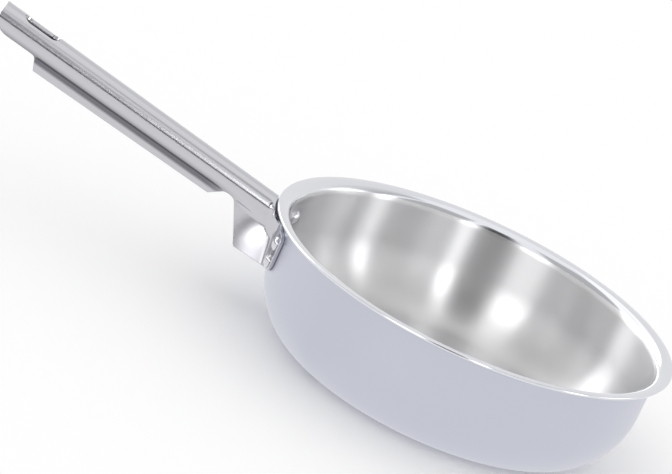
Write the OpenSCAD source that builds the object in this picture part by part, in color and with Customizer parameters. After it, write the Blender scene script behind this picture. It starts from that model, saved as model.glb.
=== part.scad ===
/* [Pan] */
// Outer diameter over the rolled-out rim
rim_d = 240; // [200:1:300]
// Height from the base to the top of the rim
pan_h = 66.6; // [64:0.2:90]
// Thickness of the pan's sheet
pan_sheet = 2; // [1.5:0.1:3]
// How far the rim stands out from the straight wall
rim_flare = 7.5; // [7:0.5:10]
// Radius under the rim, where the wall turns outwards
rim_bend_r = 5; // [3.5:0.25:6]
// Radius of the upper, slower part of the corner between wall and base
corner_slow_r = 43; // [36:1:50]
// Radius of the lower, tighter part of that corner
corner_tight_r = 23.5; // [18:0.5:28]
// Turn of the slow part, in degrees
corner_turn = 45; // [35:1:55]

/* [Handle] */
// Length of the crown line, from the end at the rim to the tip
handle_len = 184.2; // [150:0.2:240]
// Rise of the handle above level, in degrees
handle_rise = 12.2; // [6:0.1:16]
// Thickness of the handle's sheet
handle_sheet = 2.2; // [1.6:0.1:2.4]
// Outer diameter of the round top at the tip
tip_d = 17; // [15:0.1:20]
// Outer diameter of the round top at the pan
root_d = 15.7; // [14:0.1:18]
// Depth of the whole section at the tip, from crown to fin edge
tip_depth = 24.5; // [22:0.1:28]
// Depth of the whole section at the pan
root_depth = 21.4; // [20:0.1:26]
// Gap between the two sheets of the folded fin
fold_gap = 0.4; // [0.2:0.1:1]
// Radius between the round top and the fin
neck_r = 3; // [2:0.1:4]
// Gap between the crown's end and the rim
rim_gap = 0.45; // [0.3:0.05:3]
// Drop of the crown's end below the top of the rim
crown_drop = 0.85; // [0.5:0.05:6]
// Width of the hanging slot in the crown
slot_w = 9.2; // [7:0.1:10]
// Length of the hanging slot, end to end
slot_len = 23.4; // [16:0.1:30]
// Bare crown between the slot and the tip
slot_margin = 12.3; // [8:0.1:20]

/* [Cut edges of the handle] */
// Share of the round top's diameter that is left where there is no fin
open_share = 0.93; // [0.85:0.01:0.97]
// Radius of the tip's lower corner
tip_corner_r = 11; // [8:0.5:14]
// Plain length between the tip and the fin's lower corner
tip_plain = 33; // [28:0.5:45]
// Rake of the fin's end near the tip, in degrees off square
fin_rake = 27; // [10:1:40]
// Radius in the corner above that end
fin_corner_r = 4; // [2:0.5:5]
// Distance of the arch's centre from the crown's end
arch_at = 23; // [20:0.5:30]
// Radius of the arch's top
arch_r = 6; // [4:0.25:7]
// Slope of the gusset's rear edge, in degrees off square
gusset_rake = 35; // [25:1:40]
// Slope of the fin's end at the arch, in degrees off square
arch_rake = 48; // [35:1:55]
// Radius of the gusset's rear lower corner
gusset_corner_r = 7; // [2:0.5:9]

/* [Tabs and rivets] */
// Half the width between the gussets' lower ends, at the tabs
spread = 19; // [14:0.5:20]
// Length of handle over which the section opens out
opening_len = 40; // [34:1:50]
// Drop of the upper rivets below the top of the rim
rivet_drop = 17.3; // [17:0.1:20]
// Distance between the upper and the lower rivet
rivet_pitch = 10.9; // [10:0.1:13]
// Turn of the rivets away from the handle's line, in degrees
rivet_turn = 14.1; // [13.5:0.1:17]
// Diameter of a rivet's shank
shank_d = 5; // [4:0.1:6]
// Diameter of a rivet's domed head
head_d = 8.6; // [7.5:0.1:9]
// Height of a rivet's domed head
head_h = 2.4; // [1.6:0.1:3]
// Bare sheet above the upper rivet's head
tab_margin = 2.3; // [1:0.1:3]
// Bare sheet below the lower rivet's head
tab_foot = 1; // [0.5:0.1:4]
// Rise of the lower edge towards the tabs' outer ends, in degrees
foot_rise = 12; // [0:0.5:14]
// Bare sheet between a rivet's centre and the tab's outer edge
tab_side = 6.2; // [5.5:0.1:10]
// Radius of the tab's upper outer corner
tab_corner_r = 4; // [2:0.5:6]
// Radius of the tab's lower outer corner
foot_corner_r = 7; // [3:0.5:8]
// Radius in the corner between tab and crown
tab_neck_r = 7; // [3:0.5:8]

/* [Hidden] */
$fn = 96;
// Gap between a tab and the pan's wall
tab_clear = 0.1;
// Play all round a rivet's shank
shank_clear = 0.05;
// Gap under a rivet's head
seat_clear = 0.05;
// Longer than anything that is cut
far_off = 400;

// The pan's profile
rim_r = rim_d / 2;
wall_r = rim_r - rim_flare;
bend_z = pan_h - pan_sheet - rim_bend_r;
corner_h = corner_slow_r * sin(corner_turn) + corner_tight_r * (1 - sin(corner_turn));
slow_centre = [wall_r - corner_slow_r, corner_h];
tight_centre = slow_centre
    + (corner_slow_r - corner_tight_r) * [cos(corner_turn), -sin(corner_turn)];

// The handle's line: a runs out from the crown's end, m runs down from the crown
crown_x = rim_r + rim_gap;
crown_z = pan_h - crown_drop;
fin_half = handle_sheet + fold_gap / 2;
loft_depth = 36;

// The tabs
tab_r = wall_r + tab_clear + handle_sheet;
tab_top = pan_h - rivet_drop + head_d / 2 + tab_margin;
tab_low = pan_h - rivet_drop - rivet_pitch - head_d / 2 - tab_foot;
tab_end = rivet_turn + tab_side / tab_r * 180 / PI;
tab_half_w = tab_r * sin(tab_end);
// The lower edge's height at the tab's outer end and at the gusset
foot_end = tab_low + (tab_half_w - tab_r * sin(rivet_turn)) * tan(foot_rise);
gusset_low = foot_end - (tab_half_w - spread) * tan(foot_rise);
leg_depth = (crown_z - gusset_low) / cos(handle_rise);
// Room that the fold takes beyond the gusset, at its top and at its bottom
fold_top = 6;
fold_low = 4;
// How far the gusset's lower front end stands off the tab's face
leg_stand = 2.5;
// How the gussets part: over their depth, and over the opening length
part_deep = 1.5;
part_long = 2.2;
// Reach of the cuts round the tabs, inwards from the crown's end
tab_reach = 45;

// How fine the handle's faces are
top_steps = 16;
neck_steps = 4;
fin_steps = 8;
open_steps = 12;
fold_steps = 5;
tab_steps = 4;
half_n = top_steps + neck_steps + fin_steps;
row_n = 2 * half_n + 1;
// First step below the crown that goes on into the tab
tab_from = 8;

function mix(p, q, t) = p + (q - p) * t;
function along(a, from, to) = mix(from, to, a / handle_len);
function round_r(a) = along(max(a, 0), root_d, tip_d) / 2;
function fin_depth(a) = along(a, root_depth, tip_depth);
function place(a, y, m) =
    [-crown_x - a * cos(handle_rise) - m * sin(handle_rise),
     y,
     crown_z + a * sin(handle_rise) - m * cos(handle_rise)];

// Half of the keyhole section from the crown down, as [half width, depth]
function keyhole(r) =
    let (reach = r + neck_r,
         off = fin_half + neck_r,
         drop = sqrt(reach * reach - off * off),
         last = 180 - asin(off / reach),
         from = asin(drop / reach),
         neck_m = r + drop)
    concat(
        [for (i = [0:top_steps]) let (t = last * i / top_steps)
            [r * sin(t), r - r * cos(t)]],
        [for (i = [1:neck_steps]) let (t = from * (1 - i / neck_steps))
            [off - neck_r * cos(t), neck_m - neck_r * sin(t)]],
        [for (i = [1:fin_steps])
            [fin_half, mix(neck_m, loft_depth, i / fin_steps)]]);

// Half width of the opened section at a depth below the crown
function leg_y(m, r) =
    r + (spread - r) * pow(max(m - r, 0) / (leg_depth - r), part_deep);

// Station t of the opening length: 0 is the plain keyhole, 1 the front end
function end_a(m) =
    let (low_x = sqrt(pow(tab_r + leg_stand, 2) - spread * spread),
         x = mix(crown_x, low_x, m / leg_depth))
    (x - crown_x - m * sin(handle_rise)) / cos(handle_rise);

function half_row(t) =
    let (a0 = opening_len * (1 - t), r = round_r(a0), k = keyhole(r), u = pow(t, part_long))
    [for (p = k)
        let (a = mix(opening_len, end_a(p[1]), t),
             open_y = p[1] < r ? p[0] : leg_y(p[1], r))
        place(a, mix(p[0], open_y, u), p[1])];

function mirrored(p) = [p[0], -p[1], p[2]];
// A whole row, from the near lower edge over the crown to the far lower edge
function whole_row(h) =
    concat([for (k = [half_n:-1:1]) mirrored(h[k])], [for (p = h) p]);

function tip_row() = [for (p = keyhole(round_r(handle_len))) place(handle_len, p[0], p[1])];

// The fold and the tab beyond the front end, at the height of point e
function wing_point(e, before, k, s) =
    let (y = e[1] + mix(fold_top, fold_low, (k - tab_from) / (half_n - tab_from)),
         t = [-sqrt(tab_r * tab_r - y * y), y],
         tn = t / tab_r,
         run = [e[0] - before[0], e[1] - before[1]],
         c = [e[0], e[1]] + run * (tab_r - [e[0], e[1]] * tn) / (run * tn),
         f = s / fold_steps,
         b = f <= 1 ? (1 - f) * (1 - f) * [e[0], e[1]] + 2 * f * (1 - f) * c + f * f * t : t,
         turn = mix(asin(y / tab_r), tab_end, (s - fold_steps) / tab_steps),
         q = f <= 1 ? b : [-tab_r * cos(turn), tab_r * sin(turn)])
    [q[0], q[1], e[2]];

function wing_row(e_row, b_row, s) =
    [for (k = [0:half_n]) k < tab_from ? e_row[k] : wing_point(e_row[k], b_row[k], k, s)];

front_row = half_row(1);
before_row = half_row(1 - 1 / open_steps / 4);
rows = concat(
    [whole_row(tip_row())],
    [for (i = [0:open_steps]) whole_row(half_row(i / open_steps))],
    [for (s = [1:fold_steps + tab_steps]) whole_row(wing_row(front_row, before_row, s))]);
front_i = open_steps + 1;
last_i = front_i + fold_steps + tab_steps;
near_top = half_n - tab_from;
far_top = half_n + tab_from;

function in_sheet(i, j) = i <= front_i || j <= near_top || j >= far_top;
function unit(v) = v / norm(v);
// Outward direction at a point of the outer face
function face_n(i, j) =
    let (i0 = i > 0 ? i - 1 : i,
         i1 = i < last_i && in_sheet(i + 1, j) ? i + 1 : i,
         j0 = j > 0 && in_sheet(i, j - 1) ? j - 1 : j,
         j1 = j < row_n - 1 && in_sheet(i, j + 1) ? j + 1 : j)
    unit(cross(unit(rows[i1][j] - rows[i0][j]), rows[i][j1] - rows[i][j0]));

outer_pts = [for (i = [0:last_i]) for (j = [0:row_n - 1]) rows[i][j]];
inner_pts = [for (i = [0:last_i]) for (j = [0:row_n - 1])
    rows[i][j] - (in_sheet(i, j) ? handle_sheet * face_n(i, j) : [0, 0, 0])];

function at(i, j) = i * row_n + j;
function under(i, j) = at(i, j) + (last_i + 1) * row_n;
function quad(p, q, r, s) = [[p, q, r], [p, r, s]];
function skin(i, j) = concat(
    quad(at(i, j), at(i, j + 1), at(i + 1, j + 1), at(i + 1, j)),
    quad(under(i, j), under(i + 1, j), under(i + 1, j + 1), under(i, j + 1)));
function end_cap(i, j) = quad(at(i, j), at(i, j + 1), under(i, j + 1), under(i, j));
function end_cap_back(i, j) = quad(at(i, j), under(i, j), under(i, j + 1), at(i, j + 1));
function edge(i, j) = quad(at(i, j), at(i + 1, j), under(i + 1, j), under(i, j));
function edge_back(i, j) = quad(at(i, j), under(i, j), under(i + 1, j), at(i + 1, j));

sheet_faces = concat(
    [for (i = [0:front_i - 1]) for (j = [0:row_n - 2]) each skin(i, j)],
    [for (i = [front_i:last_i - 1]) for (j = [0:row_n - 2])
        if (j < near_top || j >= far_top) each skin(i, j)],
    [for (j = [0:row_n - 2]) each end_cap_back(0, j)],
    [for (j = [near_top:far_top - 1]) each end_cap(front_i, j)],
    [for (j = [0:row_n - 2]) if (j < near_top || j >= far_top) each end_cap(last_i, j)],
    [for (i = [0:last_i - 1]) each edge(i, 0)],
    [for (i = [0:last_i - 1]) each edge_back(i, row_n - 1)],
    [for (i = [front_i:last_i - 1]) each edge_back(i, near_top)],
    [for (i = [front_i:last_i - 1]) each edge(i, far_top)]);

// Everything inside the bowl's face, drawn in by t
module bowl_area(t, top) {
    translate(slow_centre) intersection() {
        circle(corner_slow_r - t);
        polygon([[0, 0], [far_off, 0], [far_off, -far_off * tan(corner_turn)]]);
    }
    translate(tight_centre) intersection() {
        circle(corner_tight_r - t);
        polygon([[0, 0], [far_off, -far_off * tan(corner_turn)], [far_off, -3 * far_off],
                 [0, -3 * far_off]]);
    }
    polygon([[0, t], [tight_centre[0], t], tight_centre, slow_centre, [0, corner_h]]);
    translate([0, corner_h]) square([wall_r - t, top - corner_h]);
}

module pan_profile() {
    difference() {
        bowl_area(0, bend_z);
        bowl_area(pan_sheet, bend_z + 1);
    }
    translate([wall_r + rim_bend_r, bend_z]) intersection() {
        difference() {
            circle(rim_bend_r + pan_sheet);
            circle(rim_bend_r);
        }
        translate([-far_off, 0]) square(far_off);
    }
    translate([wall_r + rim_bend_r, pan_h - pan_sheet])
        square([rim_flare - rim_bend_r - pan_sheet / 2, pan_sheet]);
    translate([rim_r - pan_sheet / 2, pan_h - pan_sheet / 2]) circle(pan_sheet / 2);
}

// Stands a child on the wall at a rivet, its +Z pointing out from the pan's axis
module at_rivet(side, lower) {
    rotate([0, 0, 180 + side * rivet_turn])
        translate([0, 0, pan_h - rivet_drop - (lower ? rivet_pitch : 0)])
            rotate([0, 90, 0]) children();
}

module rivet_bores() {
    for (side = [-1, 1], lower = [false, true])
        at_rivet(side, lower)
            translate([0, 0, wall_r / 2])
                cylinder(d = shank_d + 2 * shank_clear, h = wall_r);
}

module pan_body() {
    color([0.80, 0.81, 0.85]) difference() {
        rotate_extrude($fn = 180) pan_profile();
        rivet_bores();
    }
}

// Side view of all that is cut away below the crown: x is a, y is m
module side_cuts() {
    tip_m = open_share * tip_d;
    fin_end = handle_len - tip_plain;
    // Below the round top at the tip
    n = [-cos(fin_rake), -sin(fin_rake)];
    d = [-sin(fin_rake), cos(fin_rake)];
    low = [fin_end, fin_depth(fin_end)];
    // The corner's centre stands fin_corner_r off both the fin's end and the top's edge
    c = let (m = tip_m + fin_corner_r, on = low + d * ((m - low[1]) / d[1]))
        [on[0] + fin_corner_r / cos(fin_rake), m];
    translate(c) circle(fin_corner_r);
    polygon([c, c + fin_corner_r * n, c + fin_corner_r * n + d * loft_depth,
             [handle_len + 5, 2 * loft_depth], [handle_len + 5, tip_m], [c[0], tip_m]]);
    // The tip's lower corner
    translate([handle_len - tip_corner_r, tip_m - tip_corner_r]) difference() {
        square(tip_corner_r + 1);
        circle(tip_corner_r);
    }
    // The arch between fin and gusset
    top_m = open_share * 2 * round_r(arch_at);
    ac = [arch_at, top_m + arch_r];
    n1 = [-cos(gusset_rake), -sin(gusset_rake)];
    d1 = [-sin(gusset_rake), cos(gusset_rake)];
    n2 = [cos(arch_rake), -sin(arch_rake)];
    d2 = [sin(arch_rake), cos(arch_rake)];
    translate(ac) circle(arch_r);
    polygon([ac, ac + arch_r * n1, ac + arch_r * n1 + d1 * loft_depth,
             ac + arch_r * n2 + d2 * loft_depth, ac + arch_r * n2]);
    // The gusset's rear lower corner, between its rear edge and the level edge below
    nb = [-sin(handle_rise), cos(handle_rise)];
    gp = ac + (arch_r + gusset_corner_r) * n1;
    gc = gp + d1 * ((leg_depth * nb[1] - gusset_corner_r - gp * nb) / (d1 * nb));
    difference() {
        polygon([gc, gc - (gusset_corner_r + 1) * n1,
                 gc + 2 * gusset_corner_r * (nb - n1) / norm(nb - n1),
                 gc + (gusset_corner_r + 1) * nb]);
        translate(gc) circle(gusset_corner_r);
    }
    // Below the fin's edge
    polygon([[arch_at, fin_depth(arch_at)], [handle_len + 5, fin_depth(handle_len + 5)],
             [handle_len + 5, 2 * loft_depth], [arch_at, 2 * loft_depth]]);
}

// Front view of what is cut away round the tabs: x is y, y is z
module front_cuts() {
    foot = [cos(foot_rise), sin(foot_rise)];
    down = [sin(foot_rise), -cos(foot_rise)];
    corner = [tab_half_w, foot_end];
    for (side = [-1, 1]) scale([side, 1]) {
        polygon([corner + foot, [spread, gusset_low], [0, gusset_low], [0, -far_off],
                 [far_off, -far_off]]);
        y0 = root_d / 2 + 0.5;
        translate([y0 + tab_neck_r, tab_top + tab_neck_r]) circle(tab_neck_r);
        translate([y0 + tab_neck_r, tab_top]) square([far_off, far_off]);
        translate([y0, tab_top + tab_neck_r]) square([far_off, far_off]);
        translate([tab_half_w - tab_corner_r, tab_top - tab_corner_r]) difference() {
            square(tab_corner_r + 1);
            circle(tab_corner_r);
        }
        low_c = corner + [-foot_corner_r, foot_corner_r * (1 - foot[1]) / foot[0]];
        difference() {
            polygon([low_c, low_c + [foot_corner_r + 1, 0], corner + foot,
                     low_c + (foot_corner_r + 1) * down]);
            translate(low_c) circle(foot_corner_r);
        }
    }
}

// Lays a child drawn in a, y and minus m along the handle
module on_handle() {
    translate([-crown_x, 0, crown_z]) rotate([0, -handle_rise, 180]) children();
}

module hanging_slot() {
    r = slot_w / 2;
    a1 = handle_len - slot_margin - r;
    a0 = handle_len - slot_margin - slot_len + r;
    on_handle() translate([0, 0, -tip_d / 2]) {
        for (a = [a0, a1]) translate([a, 0, 0]) cylinder(r = r, h = tip_d);
        translate([a0, -r, 0]) cube([a1 - a0, slot_w, tip_d]);
    }
}

module handle() {
    color([0.66, 0.66, 0.69]) difference() {
        polyhedron(points = concat(outer_pts, inner_pts), faces = sheet_faces);
        on_handle() rotate([90, 0, 0])
            linear_extrude(height = 2 * tab_half_w, center = true) scale([1, -1]) side_cuts();
        translate([-crown_x - arch_at, 0, 0]) rotate([90, 0, 90])
            linear_extrude(height = arch_at + tab_reach) front_cuts();
        hanging_slot();
        rivet_bores();
    }
}

// Inner face of the pan's wall at height z
function wall_in_r(z) =
    z >= corner_h ? wall_r - pan_sheet
    : slow_centre[0] + sqrt(pow(corner_slow_r - pan_sheet, 2) - pow(corner_h - z, 2));

module dome() {
    ball_r = (head_h * head_h + head_d * head_d / 4) / (2 * head_h);
    rotate_extrude() intersection() {
        translate([0, head_h - ball_r]) circle(ball_r);
        square([head_d, head_h]);
    }
}

module rivet(side, lower) {
    z = pan_h - rivet_drop - (lower ? rivet_pitch : 0);
    inside = wall_in_r(z - head_d / 2);
    seat_in = sqrt(inside * inside - head_d * head_d / 4) - seat_clear;
    seat_out = tab_r + seat_clear;
    color([0.86, 0.86, 0.88]) at_rivet(side, lower) {
        translate([0, 0, seat_in - 0.5]) cylinder(d = shank_d, h = seat_out - seat_in + 1);
        translate([0, 0, seat_out]) dome();
        translate([0, 0, seat_in]) mirror([0, 0, 1]) dome();
    }
}

module rivet_near_upper() { rivet(1, false); }
module rivet_near_lower() { rivet(1, true); }
module rivet_far_upper() { rivet(-1, false); }
module rivet_far_lower() { rivet(-1, true); }

pan_body();
handle();
rivet_near_upper();
rivet_near_lower();
rivet_far_upper();
rivet_far_lower();
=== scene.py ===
# %% [markdown]
# # An omelette pan in polished steel
# The pan is a pressed steel bowl with a handle folded from one sheet, held on by four rivets.
# Every piece here is made in metres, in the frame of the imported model: the handle runs towards -X,
# +Z is up, and the origin is the middle of the base.

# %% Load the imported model
import math

import bpy
from mathutils import Matrix, Vector


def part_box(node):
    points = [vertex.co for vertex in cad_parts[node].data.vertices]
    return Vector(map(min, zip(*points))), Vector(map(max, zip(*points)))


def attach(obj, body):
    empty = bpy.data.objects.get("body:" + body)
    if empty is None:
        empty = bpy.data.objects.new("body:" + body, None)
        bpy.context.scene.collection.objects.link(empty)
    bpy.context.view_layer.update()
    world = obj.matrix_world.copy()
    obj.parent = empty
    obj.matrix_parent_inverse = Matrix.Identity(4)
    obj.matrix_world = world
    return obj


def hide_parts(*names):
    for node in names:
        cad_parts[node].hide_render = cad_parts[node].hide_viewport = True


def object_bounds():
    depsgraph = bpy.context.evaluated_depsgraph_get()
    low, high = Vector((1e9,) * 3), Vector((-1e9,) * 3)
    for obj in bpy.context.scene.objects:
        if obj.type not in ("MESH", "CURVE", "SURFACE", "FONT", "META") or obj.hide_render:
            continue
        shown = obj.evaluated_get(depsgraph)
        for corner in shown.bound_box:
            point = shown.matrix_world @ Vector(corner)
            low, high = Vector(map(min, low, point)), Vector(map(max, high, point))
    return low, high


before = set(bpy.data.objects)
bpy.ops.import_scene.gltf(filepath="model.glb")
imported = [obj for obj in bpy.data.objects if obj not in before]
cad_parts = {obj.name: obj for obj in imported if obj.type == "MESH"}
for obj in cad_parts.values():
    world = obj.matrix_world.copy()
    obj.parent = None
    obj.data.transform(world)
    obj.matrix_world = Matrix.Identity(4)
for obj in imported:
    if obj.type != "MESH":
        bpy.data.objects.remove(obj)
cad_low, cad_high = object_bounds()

print("model box in mm:", [round(1000 * (b - a)) for a, b in zip(cad_low, cad_high)])

# %% [markdown]
# ## Three small helpers
# Colours are picked as sRGB hex values, the way a paint chart gives them, but a shader works on
# linear light, so one function converts them. A second one adds a node and fills its inputs, so
# that a material reads as a list of what it does, and a third does sums with such nodes.

# %% Colour and node helpers
MM = 0.001


def linear(hex_code):
    """The linear colour of an sRGB hex value such as C9CAD6."""
    values = [int(hex_code[i:i + 2], 16) / 255 for i in (0, 2, 4)]
    return [v / 12.92 if v <= 0.04045 else ((v + 0.055) / 1.055) ** 2.4 for v in values] + [1.0]


def add(tree, kind, inputs=None, **settings):
    """Adds a node with its properties set. An input takes a value or the socket that feeds it."""
    made = tree.nodes.new(kind)
    for name, value in settings.items():
        setattr(made, name, value)
    for name, value in (inputs or {}).items():
        if isinstance(value, bpy.types.NodeSocket):
            tree.links.new(value, made.inputs[name])
        else:
            made.inputs[name].default_value = value
    return made


def maths(tree, operation, *values):
    """The result of one sum on numbers and sockets."""
    return add(tree, "ShaderNodeMath", dict(enumerate(values)), operation=operation).outputs[0]


# %% [markdown]
# ## The camera
# The photograph looks down on the pan from its side, with the camera rolled so that the handle
# climbs to the upper left. The rim is a circle, so its ellipse in the picture gives the height
# and the roll. One picture holds the distance poorly: 2.2 m fits best by a little, and the lens
# follows from it.

# %% Camera
FRAME_W, FRAME_H = 672, 474
fitted_depth = 66.6
rim_centre = Vector((0, 0, cad_low.z + fitted_depth * MM))
rim_pixel = (477.1, 283.7)
height_angle = math.radians(18.24)
side_angle = math.radians(3.57)
roll = math.radians(25.31)
distance = 2.2
focal_px = 3955

back = Vector((-math.cos(height_angle) * math.sin(side_angle),
               -math.cos(height_angle) * math.cos(side_angle),
               math.sin(height_angle)))
right = Vector((math.cos(side_angle), -math.sin(side_angle), 0))
up = back.cross(right)
rolled_right = math.cos(roll) * right + math.sin(roll) * up
rolled_up = math.cos(roll) * up - math.sin(roll) * right
to_rim = Vector((rim_pixel[0] - FRAME_W / 2, FRAME_H / 2 - rim_pixel[1], -focal_px))
swing = Vector((0, 0, -1)).rotation_difference(to_rim).to_matrix()
aim = Matrix((rolled_right, rolled_up, back)).transposed() @ swing.transposed()

camera_data = bpy.data.cameras.new("camera")
camera_data.sensor_width = 36
camera_data.lens = camera_data.sensor_width * focal_px / FRAME_W
camera = bpy.data.objects.new("camera", camera_data)
camera.matrix_world = Matrix.Translation(rim_centre + distance * back) @ aim.to_4x4()
bpy.context.scene.collection.objects.link(camera)
bpy.context.scene.camera = camera
print("lens in mm:", round(camera_data.lens, 1))


# %% [markdown]
# ## The bowl
# The real bowl is pressed from one round blank: a flat floor, a rounded corner in two radii, a
# straight wall and a rim rolled outwards. It could be a lathe modifier or a subdivided mesh. Here
# the section is drawn once as arcs that run into each other, and a Geometry Nodes tree turns it
# round the axis, because every point of the shape then follows from the same few radii.

# %% The bowl's sizes in mm
rim_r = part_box("pan_body")[1].x / MM
pan_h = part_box("pan_body")[1].z / MM
pan_sheet = 2.0
rim_flare = 7.5
rim_bend_r = 5.0
corner_slow_r = 43.0
corner_tight_r = 23.5
corner_turn = math.radians(45)

wall_r = rim_r - rim_flare
bend_z = pan_h - pan_sheet - rim_bend_r
slow_c = (wall_r - corner_slow_r,
          corner_slow_r * math.sin(corner_turn) + corner_tight_r * (1 - math.sin(corner_turn)))
tight_c = (slow_c[0] + (corner_slow_r - corner_tight_r) * math.cos(corner_turn),
           slow_c[1] - (corner_slow_r - corner_tight_r) * math.sin(corner_turn))
print("straight wall: radius", wall_r, "from z", round(slow_c[1], 1), "to", round(bend_z, 1))

# %% The bowl's section
def arc(centre, radius, start, end, steps):
    """Points on an arc, in mm, from one angle to another, in degrees."""
    turns = [math.radians(start + (end - start) * k / steps) for k in range(steps + 1)]
    return [(centre[0] + radius * math.cos(t), centre[1] + radius * math.sin(t)) for t in turns]


def bowl_section():
    """The section from the axis under the base, up over the rim and back to the axis inside."""
    bend_c = (wall_r + rim_bend_r, bend_z)
    lip_c = (rim_r - pan_sheet / 2, pan_h - pan_sheet / 2)
    floor = [tight_c[0] * share for share in (0, 0.02, 0.25, 0.5, 0.75)]
    turn = math.degrees(corner_turn)
    outside = ([(r, 0) for r in floor]
               + arc(tight_c, corner_tight_r, -90, -turn, 14)
               + arc(slow_c, corner_slow_r, -turn, 0, 18)[1:]
               + arc(bend_c, rim_bend_r, 180, 90, 10)
               + arc(lip_c, pan_sheet / 2, -90, 90, 10))
    inside = (arc(bend_c, rim_bend_r + pan_sheet, 90, 180, 14)
              + arc(slow_c, corner_slow_r - pan_sheet, 0, -turn, 18)
              + arc(tight_c, corner_tight_r - pan_sheet, -turn, -90, 14)[1:]
              + [(r, pan_sheet) for r in reversed(floor)])
    return outside, inside


# %% [markdown]
# ## One tree that turns a section round an axis
# The tree makes a grid whose columns are the section's points and whose rows are the steps of the
# turn, then moves each grid point to its place and merges the seam and the poles. The bowl and the
# rivets both use it, each with its own section and number of steps.

# %% A Geometry Nodes tree for turned shapes
def add_socket(tree, name, kind, in_out="INPUT"):
    return tree.interface.new_socket(name, in_out=in_out, socket_type="NodeSocket" + kind)


def sampled(tree, geometry, field, index, data_type):
    """Reads a field of one geometry at an index."""
    node = add(tree, "GeometryNodeSampleIndex",
               {"Geometry": geometry, "Value": field, "Index": index},
               data_type=data_type, domain="POINT")
    return node.outputs["Value"]


MERGE_WITHIN = 0.002


def turned_tree():
    """Turns a row of points in the XZ plane round Z."""
    tree = bpy.data.node_groups.new("turned_shape", "GeometryNodeTree")
    add_socket(tree, "Section", "Geometry")
    add_socket(tree, "Steps round", "Int")
    add_socket(tree, "Finish", "Material")
    add_socket(tree, "Shape", "Geometry", "OUTPUT")
    given = add(tree, "NodeGroupInput").outputs
    size = add(tree, "GeometryNodeAttributeDomainSize", {"Geometry": given["Section"]})
    count = size.outputs["Point Count"]
    rows = maths(tree, "ADD", given["Steps round"], 1)
    grid = add(tree, "GeometryNodeMeshGrid", {"Vertices X": rows, "Vertices Y": count})
    index = add(tree, "GeometryNodeInputIndex").outputs["Index"]
    row = maths(tree, "FLOOR", maths(tree, "DIVIDE", index, count))
    column = maths(tree, "MODULO", index, count)
    share = maths(tree, "DIVIDE", row, given["Steps round"])
    angle = maths(tree, "MULTIPLY", share, 2 * math.pi)
    position = add(tree, "GeometryNodeInputPosition").outputs["Position"]
    point = sampled(tree, given["Section"], position, column, "FLOAT_VECTOR")
    turned = add(tree, "ShaderNodeVectorRotate", {"Vector": point, "Angle": angle},
                 rotation_type="Z_AXIS")
    side = add(tree, "GeometryNodeInputNamedAttribute", {"Name": "inside"}, data_type="FLOAT")
    side_value = sampled(tree, given["Section"], side.outputs["Attribute"], column, "FLOAT")
    moved = add(tree, "GeometryNodeSetPosition",
                {"Geometry": grid.outputs["Mesh"], "Position": turned.outputs["Vector"]})
    marked = add(tree, "GeometryNodeStoreNamedAttribute",
                 {"Geometry": moved.outputs["Geometry"], "Name": "inside", "Value": side_value},
                 data_type="FLOAT", domain="POINT")
    merged = add(tree, "GeometryNodeMergeByDistance",
                 {"Geometry": marked.outputs["Geometry"], "Distance": MERGE_WITHIN * MM})
    smooth = add(tree, "GeometryNodeSetShadeSmooth", {"Geometry": merged.outputs["Geometry"]})
    whole = add(tree, "GeometryNodeRealizeInstances", {"Geometry": smooth.outputs["Geometry"]})
    finished = add(tree, "GeometryNodeSetMaterial",
                   {"Geometry": whole.outputs["Geometry"], "Material": given["Finish"]})
    add(tree, "NodeGroupOutput", {"Shape": finished.outputs["Geometry"]})
    return tree


def new_piece(name, mesh):
    piece = bpy.data.objects.new(name, mesh)
    bpy.context.scene.collection.objects.link(piece)
    return piece


def run_tree(name, mesh, tree, values):
    """The plain mesh that a Geometry Nodes tree makes of a mesh, with its inputs set by name."""
    maker = new_piece("maker", mesh)
    modifier = maker.modifiers.new("made", "NODES")
    modifier.node_group = tree
    for socket in tree.interface.items_tree:
        if socket.in_out == "INPUT" and socket.name in values:
            modifier[socket.identifier] = values[socket.name]
    ready = maker.evaluated_get(bpy.context.evaluated_depsgraph_get())
    made = bpy.data.meshes.new_from_object(ready)
    made.name = name
    maker.modifiers.remove(modifier)
    bpy.data.objects.remove(maker)
    return made


def section_mesh(points, inside_from):
    """A row of points for the tree. Those from inside_from on lie on the inner face."""
    mesh = bpy.data.meshes.new("section")
    mesh.from_pydata([(r * MM, 0, z * MM) for r, z in points],
                     [(k, k + 1) for k in range(len(points) - 1)], [])
    inside = mesh.attributes.new("inside", "FLOAT", "POINT")
    for k in range(len(points)):
        inside.data[k].value = float(k >= inside_from)
    return mesh

# %% [markdown]
# ## The handle
# The real handle is one pressed sheet. It is folded into a keyhole section, a round top with a
# doubled fin below, and towards the bowl the section opens into two gussets that fold outwards
# into tabs. Its skin is worked out row by row: each row runs from the crown down to the cut edge,
# which is one function of the distance along the handle, so no boolean cut is needed and every
# edge keeps clean, even faces that reflect well.

# %% The handle's sizes in mm
handle_len = 184.1
handle_rise = math.radians(12.2)
handle_sheet = 2.2
tip_d, root_d = 17.0, 15.7
tip_depth, root_depth = 24.5, 21.4
neck_r = 3.0
layer_gap = 0.4
fin_half = handle_sheet + layer_gap / 2
crown_out, crown_drop = 0.45, 0.85
crown_x = rim_r + crown_out
crown_z = pan_h - crown_drop
open_share = 0.93
edge_round = 0.4

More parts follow.
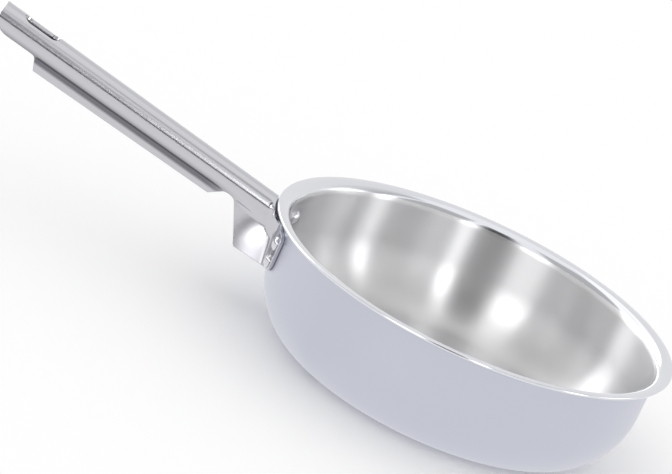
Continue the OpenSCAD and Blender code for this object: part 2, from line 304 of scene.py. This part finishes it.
# %% The handle's cut edges and tabs in mm
slot_half, slot_len, tip_to_slot = 4.6, 23.4, 12.3
slot_ends = (handle_len - tip_to_slot - slot_len, handle_len - tip_to_slot)
tip_corner_r = 11.0
tip_to_fin = 33
fin_end = handle_len - tip_to_fin
before_rake = 6
fin_rake = math.radians(27)
fin_corner_r = 4.0
arch_at, arch_r = 23.0, 6.0
gusset_rake, arch_rake = math.radians(35), math.radians(48)
spread = 19.0
opening_len = 40.0
part_deep, part_long = 1.5, 2.2
tab_play = 0.1
tab_r = wall_r + tab_play + handle_sheet
rivet_drop, rivet_pitch = 17.3, 10.9
rivet_turn = math.radians(14.1)
head_d, head_h, shank_d = 8.6, 2.4, 5.0
over_head, under_head, beside_rivet = 2.3, 1.0, 6.2
tab_top = pan_h - rivet_drop + head_d / 2 + over_head
tab_low = pan_h - rivet_drop - rivet_pitch - head_d / 2 - under_head
tab_end = rivet_turn + beside_rivet / tab_r
tab_half_w = tab_r * math.sin(tab_end)
foot_rise = math.radians(12)
foot_end = tab_low + (tab_half_w - tab_r * math.sin(rivet_turn)) * math.tan(foot_rise)
gusset_low = foot_end - (tab_half_w - spread) * math.tan(foot_rise)
leg_depth = (crown_z - gusset_low) / math.cos(handle_rise)
fold_top, fold_low = 6.0, 4.0
leg_stand = 2.5
tab_corner_r, foot_corner_r, tab_neck_r = 4.0, 7.0, 7.0
beside_mouth = 0.5
mouth_flare, mouth_len = 1.5, 3.2
mouth_top, mouth_low = (1.5, 5.5), (11, 19)
print("tabs: from z", round(tab_low, 1), "to", round(tab_top, 1),
      "half width", round(tab_half_w, 1))

# %% The handle's section
def mix(p, q, t):
    return p + (q - p) * t


def place(a, y, m):
    """A point a along the crown from its end at the rim, y to the side and m below the crown."""
    return Vector((-crown_x - a * math.cos(handle_rise) - m * math.sin(handle_rise), y,
                   crown_z + a * math.sin(handle_rise) - m * math.cos(handle_rise)))


def round_r(a):
    return mix(root_d, tip_d, max(a, 0) / handle_len) / 2


def bends(r):
    """Arc lengths from the crown to the end of the round top and to the end of the neck."""
    last = math.pi - math.asin((fin_half + neck_r) / (r + neck_r))
    return r * last, r * last + neck_r * (last - math.pi / 2)


def keyhole(r, q):
    """Half width and depth of the keyhole section at arc length q from the crown."""
    round_q, neck_q = bends(r)
    off = fin_half + neck_r
    neck_m = r + math.sqrt((r + neck_r) ** 2 - off ** 2)
    if q <= round_q:
        return r * math.sin(q / r), r - r * math.cos(q / r)
    if q <= neck_q:
        t = (neck_q - q) / neck_r
        return off - neck_r * math.cos(t), neck_m - neck_r * math.sin(t)
    return fin_half, neck_m + q - neck_q


def end_a(m):
    """Where the section ends at the bowl, at a depth below the crown."""
    low_x = math.sqrt((tab_r + leg_stand) ** 2 - spread ** 2)
    x = mix(crown_x, low_x, m / leg_depth)
    return (x - crown_x - m * math.sin(handle_rise)) / math.cos(handle_rise) + edge_round


def soft_step(value, start, end):
    """Climbs softly from 0 to 1 while the value goes from start to end."""
    t = min(max((value - start) / (end - start), 0), 1)
    return t * t * (3 - 2 * t)


def skin(station, q):
    """A point (a, y, m) of the outer face. The station is a on the plain handle and falls to 0."""
    r = round_r(station)
    y, m = keyhole(r, q)
    if station >= opening_len:
        return station, y, m
    t = 1 - station / opening_len
    a = mix(opening_len, end_a(m), t)
    if m > r:
        leg_y = r + (spread - r) * ((m - r) / (leg_depth - r)) ** part_deep
        y = mix(y, leg_y, t ** part_long)
    mouth = max(1 - (a - end_a(m)) / mouth_len, 0) ** 2
    y += mouth_flare * mouth * soft_step(m, *mouth_top) * (1 - soft_step(m, *mouth_low))
    return a, y, m


# %% The lower edge of the skin, seen from the side
def line_m(a, start, direction):
    """Depth of a straight cut at a."""
    return start[1] + (a - start[0]) * direction[1] / direction[0]


def edge_m(a):
    """Depth of the cut edge below the crown at a, with room for the edge's own rounding."""
    c = edge_round
    level = (crown_z + a * math.sin(handle_rise) - gusset_low - c) / math.cos(handle_rise)
    top_m = open_share * 2 * round_r(arch_at)
    centre = (arch_at, top_m + arch_r)
    rear_n = (-math.cos(gusset_rake), -math.sin(gusset_rake))
    front_n = (math.cos(arch_rake), -math.sin(arch_rake))
    rear = (centre[0] + (arch_r + c) * rear_n[0], centre[1] + (arch_r + c) * rear_n[1])
    front = (centre[0] + (arch_r + c) * front_n[0], centre[1] + (arch_r + c) * front_n[1])
    if a < rear[0]:
        return min(line_m(a, rear, (-math.sin(gusset_rake), math.cos(gusset_rake))), level)
    if a < front[0]:
        return centre[1] - math.sqrt(max((arch_r + c) ** 2 - (a - centre[0]) ** 2, 0))
    fin_m = mix(root_depth, tip_depth, a / handle_len) - c
    if a < fin_end - before_rake:
        return min(line_m(a, front, (math.sin(arch_rake), math.cos(arch_rake))), fin_m)
    tip_m = open_share * tip_d
    slope = (-math.sin(fin_rake), math.cos(fin_rake))
    low = (fin_end, mix(root_depth, tip_depth, fin_end / handle_len))
    corner_m = tip_m + fin_corner_r
    corner_a = (low[0] + slope[0] * (corner_m - low[1]) / slope[1]
                + fin_corner_r / math.cos(fin_rake))
    reach = fin_corner_r + c
    touch = (corner_a - reach * math.cos(fin_rake), corner_m - reach * math.sin(fin_rake))
    if a < touch[0]:
        return min(line_m(a, touch, slope), fin_m)
    if a < corner_a:
        return corner_m - math.sqrt(max(reach ** 2 - (a - corner_a) ** 2, 0))
    if a < handle_len - tip_corner_r:
        return tip_m - c
    over = a - (handle_len - tip_corner_r)
    return tip_m - tip_corner_r + math.sqrt(max((tip_corner_r - c) ** 2 - over ** 2, 0))


# %% The edges of the tabs, seen from the front
def tab_top_z(y):
    """Height of the tab's upper edge at y, from the mouth over the fillet to the outer corner."""
    c = edge_round
    fillet_y = root_d / 2 + beside_mouth + tab_neck_r
    if y < fillet_y:
        reach = tab_neck_r + c
        return tab_top + tab_neck_r - math.sqrt(max(reach ** 2 - (fillet_y - y) ** 2, 0))
    over = y - (tab_half_w - tab_corner_r)
    if over < 0:
        return tab_top - c
    return tab_top - tab_corner_r + math.sqrt(max((tab_corner_r - c) ** 2 - over ** 2, 0))


def tab_low_z(y):
    """Height of the tab's lower edge at y."""
    c = edge_round
    low_c = (tab_half_w - foot_corner_r,
             foot_end + foot_corner_r * (1 - math.sin(foot_rise)) / math.cos(foot_rise))
    over = y - low_c[0]
    if over > (foot_corner_r - c) * math.sin(foot_rise):
        return low_c[1] - math.sqrt(max((foot_corner_r - c) ** 2 - over ** 2, 0))
    return gusset_low + max(y - spread, 0) * math.tan(foot_rise) + c / math.cos(foot_rise)


JUST_BEFORE = 0.8


def wing(q, s):
    """A point beyond the section's end: the fold for s from 0 to 1, then the tab up to 2."""
    a, y, m = skin(0, q)
    end, before = place(a, y, m), place(*skin(JUST_BEFORE, q))
    run = end - before
    y_tab = y + mix(fold_top, fold_low, max(m - root_d / 2, 0) / (leg_depth - root_d / 2))
    touch = Vector((-math.sqrt(tab_r ** 2 - y_tab ** 2), y_tab, 0))
    out = touch / tab_r
    reach = (tab_r - end.x * out.x - end.y * out.y) / (run.x * out.x + run.y * out.y)
    turn = end + run * reach
    touch.z = turn.z
    if s <= 1:
        return (1 - s) ** 2 * end + 2 * s * (1 - s) * turn + s * s * touch
    angle = mix(math.asin(y_tab / tab_r), tab_end - edge_round / tab_r, s - 1)
    return Vector((-tab_r * math.cos(angle), tab_r * math.sin(angle), turn.z))


# %% Rows of points
def solve(inside, low, high):
    """The last value between low and high at which inside() is still true."""
    for _ in range(40):
        middle = (low + high) / 2
        low, high = (middle, high) if inside(middle) else (low, middle)
    return low


def spaced(stops, counts):
    """Values through the stops, with so many steps between each pair."""
    values = [mix(p, q, k / n) for p, q, n in zip(stops, stops[1:], counts) for k in range(n)]
    return values + [stops[-1]]


# Steps in each stretch of a row, and the most of its length at which the first three may end
COLUMNS = (16, 12, 6, 12, 2)
MOST = (0.48, 0.92, 0.955)
WING_FROM = COLUMNS[0]
support = 0.35
wing_q = solve(lambda q: place(*skin(0, q)).z > tab_top_z(skin(0, q)[1]), 2, 24)


def row_columns(start_q, end_q, r):
    """Arc lengths of a row's points: mouth, round top, neck, fin or gusset, and a fine step."""
    round_q, neck_q = bends(r)
    length = end_q - start_q
    stops = [start_q, start_q + min(wing_q, length * MOST[0]),
             min(round_q, start_q + length * MOST[1]),
             min(neck_q, start_q + length * MOST[2]), end_q - support, end_q]
    return spaced(stops, COLUMNS)


def side_end(station):
    """Arc length at which a row meets the cut edge."""
    def inside(q):
        a, _, m = skin(station, q)
        return m < edge_m(a)
    return solve(inside, 2, 60)


def slot_start(station):
    """Arc length from the crown to the slot's edge, or 0 where there is no slot."""
    low, high = slot_ends[0] + slot_half, slot_ends[1] - slot_half
    over = max(low - station, station - high, 0)
    reach = slot_half + edge_round
    if over >= reach:
        return 0.0
    r = round_r(station)
    return r * math.asin(math.sqrt(reach ** 2 - over ** 2) / r)


def eased(start, end, steps):
    """Values that crowd together at the start, for an edge that turns square there."""
    return [mix(start, end, 1 - math.cos(math.pi / 2 * k / steps)) for k in range(steps + 1)]


def stations():
    """Distances along the handle from the tip to the bowl, close together where an edge turns."""
    reach = slot_half + edge_round
    slot_low, slot_high = slot_ends[0] - edge_round, slot_ends[1] + edge_round
    tip = handle_len - edge_round
    tip_turn, least_step = 9, 0.02
    round_tip = eased(tip, tip - tip_turn, 20) + [tip - tip_turn - 1.5]
    slot = (eased(slot_high, slot_high - reach, 14)
            + spaced([slot_high - reach, slot_low + reach], [8])
            + eased(slot_low, slot_low + reach, 14)
            + [slot_high + 0.3, slot_low - 0.3, slot_low - 1])
    fin_corner = [fin_end - 3 + 0.45 * k for k in range(34)]
    plain = spaced([fin_end - 4, opening_len], [46])
    opening = spaced([opening_len, 0.6], [66]) + [0.3, 0.0]
    marks = round_tip + slot + fin_corner + plain + opening
    ordered = sorted(set(round(mark, 4) for mark in marks), reverse=True)
    kept = [ordered[0]]
    for mark in ordered[1:]:
        if kept[-1] - mark > least_step:
            kept.append(mark)
    return kept


NUDGE = 0.02


def across(point_at, u, v):
    """The outward direction of a face that is given by a function of two values."""
    along_u = point_at(u + NUDGE, v) - point_at(u - NUDGE, v)
    along_v = point_at(u, v + NUDGE) - point_at(u, v - NUDGE)
    return along_v.cross(along_u).normalized()


def skin_point(station, q):
    return place(*skin(station, q))


def wing_point(s, q):
    return wing(q, s)


# The groove is rougher and painted darker, as painted shade, from this share of the round top down
# to so many mm past the neck, and it closes between these two distances along the handle
GROOVE_FROM, GROOVE_PAST, GROOVE_CLOSES = 0.72, 2, (14, 40)


def dullness_and_painted_shade_at(station, q):
    """How dull the groove above the fin is, and how far painted shade darkens its colour there."""
    round_q, neck_q = bends(round_r(station))
    closed = soft_step(station, *GROOVE_CLOSES)
    into = soft_step(q, GROOVE_FROM * round_q, round_q)
    return closed * into * (1 - soft_step(q, neck_q, neck_q + GROOVE_PAST))


# Where along the wing its outer corners begin to turn, and where the last fine steps start
CORNER_FROM, CORNER_LAST = 1.35, 1.97


def half_grid(side):
    """Rows of points of one half of the skin, each with its outward direction and its mask of
    dullness and painted shade.
    """
    def on_side(v):
        return Vector((v.x, side * v.y, v.z))

    grid = []
    for station in stations():
        columns = row_columns(slot_start(station), side_end(station), round_r(station))
        seen_at = max(station, NUDGE)
        grid.append([(on_side(skin_point(station, q)), on_side(across(skin_point, seen_at, q)),
                      dullness_and_painted_shade_at(station, q)) for q in columns])
    front = row_columns(0, side_end(0), round_r(0))
    corner_run = 2 - CORNER_FROM
    for s in spaced([0, 1, CORNER_FROM, CORNER_LAST, 2], [10, 4, 20, 2])[1:]:
        t = s
        if s >= CORNER_FROM:
            # The outer corners turn square at the end, so the last steps crowd together
            t = CORNER_FROM + corner_run * math.sin(math.pi / 2 * (s - CORNER_FROM) / corner_run)
        top_q = solve(lambda q: wing(q, t).z > tab_top_z(wing(q, t).y), wing_q - 5, 40)
        low_q = solve(lambda q: wing(q, t).z > tab_low_z(wing(q, t).y), 20, 60)
        old_top, old_low = front[WING_FROM], front[-1]
        row = [None] * WING_FROM
        for q in front[WING_FROM:]:
            wing_at = mix(top_q, low_q, (q - old_top) / (old_low - old_top))
            row.append((on_side(wing(wing_at, t)), -on_side(across(wing_point, t, wing_at)), 0.0))
        grid.append(row)
    return grid


def outer_skin():
    """Points, outward directions, masks of dullness and painted shade, and faces of the outer face,
    joined at the crown.
    """
    points, normals, dull_and_painted_shade, faces, index = [], [], [], [], {}

    def number(spot):
        key = tuple(round(value, 4) for value in spot[0])
        if key not in index:
            index[key] = len(points)
            points.append(spot[0])
            normals.append(spot[1])
            dull_and_painted_shade.append(spot[2])
        return index[key]

    for side in (-1, 1):
        grid = half_grid(side)
        for row, below in zip(grid, grid[1:]):
            for j in range(len(row) - 1):
                if below[j] is None:
                    continue
                corners = [row[j], row[j + 1], below[j + 1], below[j]]
                if side > 0:
                    corners.reverse()
                face = list(dict.fromkeys(number(spot) for spot in corners))
                if len(face) > 2:
                    faces.append(face)
    return points, normals, dull_and_painted_shade, faces


# %% A skin becomes a sheet with rounded edges
def sheet_mesh(name, points, normals, dull_and_painted_shade, faces, thickness, rounding, steps=3):
    """A closed sheet under an outer face, with rounded edges. Its inner face has finish 1."""
    follows = {(face[k - 1], face[k]) for face in faces for k in range(len(face))}
    open_edges = {p: q for (p, q) in follows if (q, p) not in follows}
    comes_from = {q: p for p, q in open_edges.items()}
    count = len(points)
    verts = list(points) + [p - n * thickness for p, n in zip(points, normals)]
    facing = list(normals) + [-n for n in normals]
    polygons = [list(f) for f in faces] + [[k + count for k in reversed(f)] for f in faces]
    walls = {}
    for here, after in open_edges.items():
        up = normals[here]
        out = (points[after] - points[comes_from[here]]).cross(up).normalized()
        wall = [here]
        turns = [math.pi / 2 * k / steps for k in range(1, steps + 1)]
        for side, t in [(1, t) for t in turns] + [(-1, t) for t in reversed(turns)]:
            drop = rounding * (1 - math.cos(t))
            depth = drop if side > 0 else thickness - drop
            verts.append(points[here] + out * rounding * math.sin(t) - up * depth)
            facing.append(out * math.sin(t) + up * side * math.cos(t))
            wall.append(len(verts) - 1)
        walls[here] = wall + [here + count]
    for here, after in open_edges.items():
        for k in range(len(walls[here]) - 1):
            polygons.append([walls[here][k], walls[here][k + 1],
                             walls[after][k + 1], walls[after][k]])
    mesh = bpy.data.meshes.new(name)
    mesh.from_pydata([v * MM for v in verts], [], polygons)
    for face in mesh.polygons[len(faces):2 * len(faces)]:
        face.material_index = 1
    # This mask makes the groove above the fin rougher and darkens its colour as painted shade
    shade = mesh.attributes.new("dull_and_painted_shade", "FLOAT", "POINT")
    for k, value in enumerate(dull_and_painted_shade):
        shade.data[k].value = value
    mesh.validate()
    mesh.shade_smooth()
    mesh.normals_split_custom_set_from_vertices(facing)
    return mesh

# %% [markdown]
# ## The rivets
# Four solid steel rivets hold the handle, two on each side. Each has a low domed head outside and
# another inside the wall. They are the same piece four times over, so one turned rivet is
# instanced on four points and the instances are then made real.

# %% The rivets
seat_play = 0.05


def rivet_section():
    """The section of one rivet along its axis, from the inner head's top to the outer head's."""
    ball_r = (head_h ** 2 + head_d ** 2 / 4) / (2 * head_h)
    half = math.degrees(math.asin(head_d / 2 / ball_r))
    seat_out = tab_r + seat_play
    inside = wall_r - pan_sheet
    seat_in = math.sqrt(inside ** 2 - head_d ** 2 / 4) - seat_play
    outer = arc((0, seat_out + head_h - ball_r), ball_r, 90 - half, 90, 14)
    inner = arc((0, seat_in - head_h + ball_r), ball_r, -90, half - 90, 14)
    neck = [(shank_d / 2, seat_in), (shank_d / 2, seat_out)]
    return inner + neck + outer


print("rivet head:", head_d, "mm across,", head_h, "mm high")


def rivets_tree():
    """Sets the turned rivet on the wall, upper and lower, near and far."""
    tree = bpy.data.node_groups.new("rivets", "GeometryNodeTree")
    add_socket(tree, "Rivet", "Geometry")
    for name in ("Turn", "Upper height", "Pitch"):
        add_socket(tree, name, "Float")
    add_socket(tree, "Rivets", "Geometry", "OUTPUT")
    add_socket(tree, "Finish", "Material")
    given = add(tree, "NodeGroupInput").outputs
    points = add(tree, "GeometryNodePoints", {"Count": 4})
    index = add(tree, "GeometryNodeInputIndex").outputs["Index"]
    side = maths(tree, "MODULO", index, 2)
    lower = maths(tree, "FLOOR", maths(tree, "DIVIDE", index, 2))
    sign = maths(tree, "MULTIPLY_ADD", side, 2, -1)
    turn = maths(tree, "MULTIPLY_ADD", sign, given["Turn"], math.pi)
    drop = maths(tree, "MULTIPLY", lower, given["Pitch"])
    height = maths(tree, "SUBTRACT", given["Upper height"], drop)
    place_z = add(tree, "ShaderNodeCombineXYZ", {"Z": height})
    put = add(tree, "GeometryNodeSetPosition",
              {"Geometry": points.outputs[0], "Position": place_z.outputs[0]})
    angles = add(tree, "ShaderNodeCombineXYZ", {"Y": math.pi / 2, "Z": turn})
    rotation = add(tree, "FunctionNodeEulerToRotation", {"Euler": angles.outputs[0]})
    copies = add(tree, "GeometryNodeInstanceOnPoints",
                 {"Points": put.outputs[0], "Instance": given["Rivet"],
                  "Rotation": rotation.outputs[0]})
    whole = add(tree, "GeometryNodeRealizeInstances", {"Geometry": copies.outputs[0]})
    finished = add(tree, "GeometryNodeSetMaterial",
                   {"Geometry": whole.outputs[0], "Material": given["Finish"]})
    add(tree, "NodeGroupOutput", {"Rivets": finished.outputs[0]})
    return tree

# %% [markdown]
# ## The steels
# The bowl is stainless steel. Outside it is satin polished, and inside it is brushed on a
# lathe, which leaves fine rings. Such rings blur a reflection across themselves and not along
# them, so the shader is anisotropic about the bowl's axis. The handle is polished in long
# strokes. The groove above its fin is left rougher here, which is a guess, and its colour is
# painted darker there as painted shade, in place of a dark reflection.

# %% Grain
STREAK_LENGTH = 60
SMUDGE_PITCH = 22


def scaled(tree, vector, scale):
    """A position times a number on each axis."""
    return add(tree, "ShaderNodeVectorMath", {0: vector, 1: scale}, operation="MULTIPLY").outputs[0]


def object_place(tree):
    return add(tree, "ShaderNodeTexCoord").outputs["Object"]


def ring_place(tree, pitch):
    """Distance from the bowl's axis and height, so that noise on them runs in rings."""
    position = object_place(tree)
    radius = add(tree, "ShaderNodeVectorMath", {0: scaled(tree, position, (1, 1, 0))},
                 operation="LENGTH")
    height = add(tree, "ShaderNodeSeparateXYZ", {0: position}).outputs["Z"]
    joined = add(tree, "ShaderNodeCombineXYZ", {"X": radius.outputs["Value"], "Y": height})
    return scaled(tree, joined.outputs[0], (1 / (pitch * MM),) * 3)


def streak_place(tree, pitch):
    """Position along and across the handle, so that noise on it runs in long streaks."""
    level = add(tree, "ShaderNodeVectorRotate",
                {"Vector": object_place(tree), "Angle": -handle_rise}, rotation_type="Y_AXIS")
    grains = 1 / (pitch * MM)
    return scaled(tree, level.outputs[0], (grains / STREAK_LENGTH, grains, grains))


def even_place(tree, pitch):
    return scaled(tree, object_place(tree), (1 / (pitch * MM),) * 3)


def noise(tree, vector, detail):
    node = add(tree, "ShaderNodeTexNoise", {"Vector": vector, "Scale": 1, "Detail": detail})
    return node.outputs[0]


# %% Steel
def steel(name, colour, roughness, grain_place, pitch, spread_of_grain, cut, smudge):
    """Steel with grain of a pitch in mm that is cut so many mm deep, and faint smudges."""
    mat = bpy.data.materials.new(name)
    mat.use_nodes = True
    tree = mat.node_tree
    shader = tree.nodes["Principled BSDF"]
    shader.inputs["Base Color"].default_value = linear(colour)
    shader.inputs["Metallic"].default_value = 1
    grain = noise(tree, grain_place(tree, pitch), 2)
    marks = noise(tree, even_place(tree, SMUDGE_PITCH), 1)
    rough = maths(tree, "MULTIPLY_ADD", grain, spread_of_grain,
                  roughness - (spread_of_grain + smudge) / 2)
    rubbed = maths(tree, "MULTIPLY_ADD", marks, smudge, rough)
    tree.links.new(rubbed, shader.inputs["Roughness"])
    bump = add(tree, "ShaderNodeBump", {"Height": grain, "Strength": 1, "Distance": cut * MM})
    tree.links.new(bump.outputs[0], shader.inputs["Normal"])
    return mat


# The second colour is painted shade that darkens the groove above the handle's fin. The rougher
# value is the groove's own finish
sheet_colour, painted_groove_shade_colour, groove_rougher = "C9C9CE", "7C7B81", 0.16
satin_steel = steel("satin_polished_steel", "C9CBD7", 0.32, ring_place, 0.9, 0.06, 0.0006, 0.04)
brushed_steel = steel("lathe_brushed_steel", "E0E0E1", 0.32, ring_place, 0.5, 0.1, 0.0012, 0.03)
rim_steel = steel("polished_rim_steel", "E2E3E8", 0.12, ring_place, 0.7, 0.04, 0.0004, 0.03)
handle_steel = steel("polished_stainless_sheet", sheet_colour, 0.18, streak_place, 0.8, 0.05,
                     0.0001, 0.05)
mill_steel = steel("unpolished_mill_steel", "9C9C9F", 0.42, streak_place, 0.5, 0.08, 0.002, 0.04)
rivet_steel = steel("polished_rivet_steel", "D8D8DC", 0.14, even_place, 1.5, 0.06, 0.004, 0.0)

# %% The groove above the handle's fin is rougher and painted darker as painted shade
tree = handle_steel.node_tree
shader = tree.nodes["Principled BSDF"]
dull_and_painted_shade = add(tree, "ShaderNodeAttribute", attribute_name="dull_and_painted_shade").outputs["Fac"]
# The mask darkens the groove's colour, which is painted shade. The colour inputs and output of a Mix
# node are known by number, since its names repeat
colours = add(tree, "ShaderNodeMix",
              {0: dull_and_painted_shade, 6: linear(sheet_colour), 7: linear(painted_groove_shade_colour)}, data_type="RGBA")
tree.links.new(colours.outputs[2], shader.inputs["Base Color"])
polished = shader.inputs["Roughness"].links[0].from_socket
duller = maths(tree, "MULTIPLY_ADD", dull_and_painted_shade, groove_rougher, polished)
tree.links.new(duller, shader.inputs["Roughness"])

# %% The brushed rings blur along the wall's height
tree = brushed_steel.node_tree
shader = tree.nodes["Principled BSDF"]
shader.inputs["Anisotropic"].default_value = 1
shader.inputs["Anisotropic Rotation"].default_value = 0.25
tangent = add(tree, "ShaderNodeTangent", direction_type="RADIAL", axis="Z")
tree.links.new(tangent.outputs[0], shader.inputs["Tangent"])

# %% Make the bowl
BOWL_STEPS, RIVET_STEPS = 256, 48
POLISHED_FROM = 0.6
turned = turned_tree()
outside, inside = bowl_section()
bowl_mesh = run_tree("bowl", section_mesh(outside + inside, len(outside)), turned,
                     {"Steps round": BOWL_STEPS, "Finish": satin_steel})
bowl_mesh.materials.clear()
for finish in (satin_steel, brushed_steel, rim_steel):
    bowl_mesh.materials.append(finish)
inner = bowl_mesh.attributes["inside"].data
for face in bowl_mesh.polygons:
    face.material_index = 0
    if face.center.z > (bend_z + POLISHED_FROM * rim_bend_r) * MM:
        face.material_index = 2
    elif sum(inner[k].value for k in face.vertices) > 0.5 * len(face.vertices):
        face.material_index = 1
bowl = new_piece("bowl", bowl_mesh)
print("bowl:", len(bowl_mesh.polygons), "faces")

# %% Make the handle
handle_mesh = sheet_mesh("folded_handle", *outer_skin(), handle_sheet, edge_round)
for finish in (handle_steel, mill_steel):
    handle_mesh.materials.append(finish)
handle = new_piece("folded_handle", handle_mesh)
print("handle:", len(handle_mesh.polygons), "faces")

# %% Make the rivets
section = rivet_section()
one_rivet = run_tree("one_rivet", section_mesh(section, len(section)), turned,
                     {"Steps round": RIVET_STEPS, "Finish": rivet_steel})
rivets_mesh = run_tree("rivets", one_rivet, rivets_tree(),
                       {"Turn": rivet_turn, "Upper height": (pan_h - rivet_drop) * MM,
                        "Pitch": rivet_pitch * MM, "Finish": rivet_steel})
rivets = new_piece("rivets", rivets_mesh)
print("rivets:", len(rivets_mesh.polygons), "faces")

# %% Ride
for piece, slot, nodes in (
        (bowl, "pan_steel", ["pan_body"]), (handle, "handle_steel", ["handle"]),
        (rivets, "rivet_steel", ["rivet_near_upper", "rivet_near_lower",
                                 "rivet_far_upper", "rivet_far_lower"])):
    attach(piece, "root")
    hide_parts(*nodes)

# %% [markdown]
# ## The studio
# Polished steel has hardly any colour of its own and shows the room. The pan stands on a white
# floor in a white tent. Metal also sees tall lamps and grey gaps between them round the tent,
# which give the bands inside the bowl, and a shaded band just above the horizon on the side that
# the handle's gusset faces.

# %% World
LOW_TENT, MIDDLE_TENT, BACK, OVERHEAD = 1.75, 0.55, 0.9, 1.05
SHADE, LAMP_TOP, GAP_TOP = 0.1, 0.12, 0.35
SIDE_TURN = (-0.7, -0.1)
# Each strip: degrees to the left of the camera's side, half width, strength over the tent's level
STRIPS = ((-102, 11, 1.1), (-73, 5, 4.4), (-16, 4, 5.8), (28, 10, 4.2), (112, 11, 5.0),
          (142, 14, 3.2), (2, 10, -1.3))
STRIP_EDGE = 0.35


def band(value, start, end, value_from, value_to):
    """A soft step between two values."""
    step = add(sky, "ShaderNodeMapRange",
               {"Value": value, "From Min": start, "From Max": end, "To Min": value_from,
                "To Max": value_to}, interpolation_type="SMOOTHSTEP")
    return step.outputs[0]


def climb(start, end, value_from, value_to):
    """A soft step between two heights above the horizon, in degrees."""
    return band(height, math.sin(math.radians(start)), math.sin(math.radians(end)),
                value_from, value_to)


def facing(degrees):
    """How far the ray faces a direction, given in degrees to the left of the camera's side."""
    turn = math.radians(degrees)
    node = add(sky, "ShaderNodeVectorMath", {0: level, 1: (-math.sin(turn), -math.cos(turn), 0)},
               operation="DOT_PRODUCT")
    return node.outputs["Value"]


def blended(share, first, second):
    """The first value at share 0 and the second at 1."""
    return add(sky, "ShaderNodeMix", {0: share, 2: first, 3: second}, data_type="FLOAT").outputs[0]


world = bpy.data.worlds.new("studio")
bpy.context.scene.world = world
world.use_nodes = True
sky = world.node_tree
sky.nodes.clear()
toward = add(sky, "ShaderNodeTexCoord").outputs["Generated"]
height = add(sky, "ShaderNodeSeparateXYZ", {0: toward}).outputs["Z"]
flat = scaled(sky, toward, (1, 1, 0))
level = add(sky, "ShaderNodeVectorMath", {0: flat}, operation="NORMALIZE").outputs[0]

# The near half of the tent and the lamps start above a shaded band over the horizon
shade = climb(4, 12, SHADE, 1)
front = maths(sky, "MULTIPLY", climb(14, 30, LOW_TENT, MIDDLE_TENT), shade)
total = blended(band(facing(0), *SIDE_TURN, 0, 1), BACK, front)
lamp_fade = maths(sky, "MULTIPLY", climb(14, 36, 1, LAMP_TOP), climb(6, 12, 0, 1))
gap_fade = maths(sky, "MULTIPLY", climb(14, 30, 1, GAP_TOP), shade)
for turn, half_width, strength in STRIPS:
    strip = band(facing(turn), math.cos(math.radians(half_width * (1 + STRIP_EDGE))),
                 math.cos(math.radians(half_width * (1 - STRIP_EDGE))), 0, strength)
    shown = maths(sky, "MULTIPLY", strip, lamp_fade if strength > 0 else gap_fade)
    total = maths(sky, "ADD", total, shown)
room = blended(climb(60, 67, 0, 1), total, OVERHEAD)

# Only glossy rays see the room. All others get an even white
rays = add(sky, "ShaderNodeLightPath")
level_of_light = blended(rays.outputs["Is Glossy Ray"], 1.0, room)
light = add(sky, "ShaderNodeBackground", {"Color": (1, 1, 1, 1), "Strength": level_of_light})
add(sky, "ShaderNodeOutputWorld", {"Surface": light.outputs[0]})

# %% Floor
floor_half = 4.0
floor_mesh = bpy.data.meshes.new("floor")
floor_mesh.from_pydata([(-floor_half, -floor_half, 0), (floor_half, -floor_half, 0),
                        (floor_half, floor_half, 0), (-floor_half, floor_half, 0)],
                       [], [(0, 1, 2, 3)])
white = bpy.data.materials.new("matt_white_floor")
white.use_nodes = True
paint = white.node_tree
matt = paint.nodes["Principled BSDF"]
matt.inputs["Base Color"].default_value = (1, 1, 1, 1)
matt.inputs["Roughness"].default_value = 1
matt.inputs["Specular IOR Level"].default_value = 0
# The steel sees the floor as an even white, without the pan's own shadow on it
seen = add(paint, "ShaderNodeLightPath")
glow = add(paint, "ShaderNodeEmission")
mixed = add(paint, "ShaderNodeMixShader",
            {0: seen.outputs["Is Glossy Ray"], 1: matt.outputs[0], 2: glow.outputs[0]})
paint.links.new(mixed.outputs[0], paint.nodes["Material Output"].inputs["Surface"])
floor_mesh.materials.append(white)
floor_piece = new_piece("floor", floor_mesh)

# %% The view transform
bpy.context.scene.view_settings.view_transform = "Standard"
